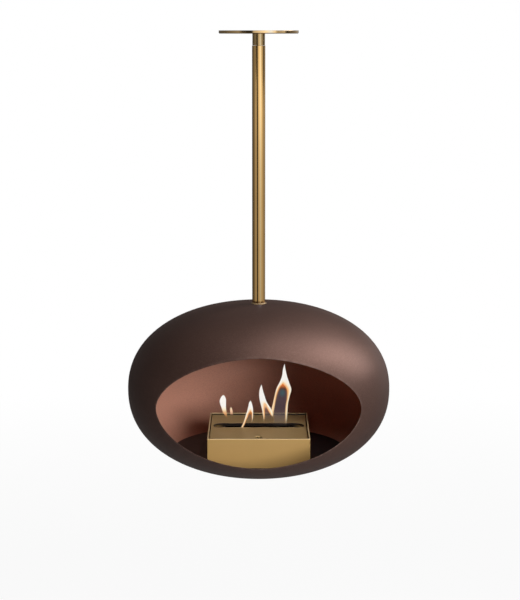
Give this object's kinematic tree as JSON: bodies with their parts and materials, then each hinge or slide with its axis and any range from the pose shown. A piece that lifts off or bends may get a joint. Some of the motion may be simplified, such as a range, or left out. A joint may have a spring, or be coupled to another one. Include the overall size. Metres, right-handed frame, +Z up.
{
  "type": "hanging fireplace",
  "caption": "Ceiling-hung ethanol fireplace: a domed steel shell with a wide oval opening turns on a slim pole and holds a lift-out burner with a damper and a cover.",
  "frame": {"origin": "centre of the ceiling plate's top face, which lies against the ceiling", "axes": "+Z up along the pole, the fire opening faces -Y, +X to the right seen from behind the opening's back"},
  "size_m": [0.6098, 0.5579, 1.0215],
  "materials": {
    "plate_brass": "polished, with a fine brushed grain",
    "pole_brass": "satin, drawn lengthwise",
    "cage_brass": "machined",
    "burner_brass": "satin, with soft bright edges",
    "cover_brass": "satin, slightly heat-toned",
    "shell_paint": "matte metallic mocha",
    "black_paint": "matte heat-proof black",
    "bright_steel": "brushed",
    "dark_steel": "blackened",
    "bearing_steel": "ground and polished",
    "foot_rubber": "matte",
    "wick_fibre": "ceramic fibre, matte"
  },
  "bodies": {
    "mount": {"ceiling_plate": "plate_brass", "swivel_housing": "pole_brass", "flange_screws": "bright_steel", "lower_race": "bearing_steel"},
    "bearing": {"ball_cage": "cage_brass", "bearing_balls": "bearing_steel"},
    "hanger": {"upper_race": "bearing_steel", "swivel_stud": "bright_steel", "pole_tube": "pole_brass", "pole_top_plug": "cage_brass", "stud_lock_screw": "dark_steel", "pole_bottom_plug": "cage_brass", "foot_ring": "plate_brass", "shell": "shell_paint", "saddle_plate": "black_paint", "shell_washer": "bright_steel", "shell_bolt": "bright_steel", "floor_plate": "black_paint", "floor_brackets": "black_paint", "floor_screws": "dark_steel", "locating_pins": "bright_steel"},
    "burner": {"burner_casing": "burner_brass", "burner_feet": "foot_rubber", "base_plate": "bright_steel", "base_screws": "dark_steel", "deck_posts": "bright_steel", "post_screws": "dark_steel", "deck_plate": "bright_steel", "deck_screws": "dark_steel", "fuel_tank": "bright_steel", "wick_block": "wick_fibre", "damper_rails": "bright_steel", "rail_screws": "dark_steel"},
    "damper": {"damper_plate": "burner_brass"},
    "cover": {"cover_plate": "cover_brass"}
  },
  "joints": [
    {"name": "swivel", "type": "hinge", "parent": "mount", "child": "hanger", "pos_m": [0, 0, 0], "axis": [0, 0, 1], "continuous": true},
    {"name": "cage_turn", "type": "hinge", "parent": "mount", "child": "bearing", "pos_m": [0, 0, 0], "axis": [0, 0, 1], "continuous": true},
    {"name": "burner_lift", "type": "slide", "parent": "hanger", "child": "burner", "axis": [0, 0, 1], "range_m": [0, 0.05]},
    {"name": "damper_slide", "type": "slide", "parent": "burner", "child": "damper", "axis": [0, 1, 0], "range_m": [0, 0.04]},
    {"name": "cover_lift", "type": "slide", "parent": "burner", "child": "cover", "axis": [0, 0, 1], "range_m": [0, 0.03]}
  ],
  "couplings": [
    {"joint": "cage_turn", "follows": "swivel", "ratio": 0.5}
  ]
}
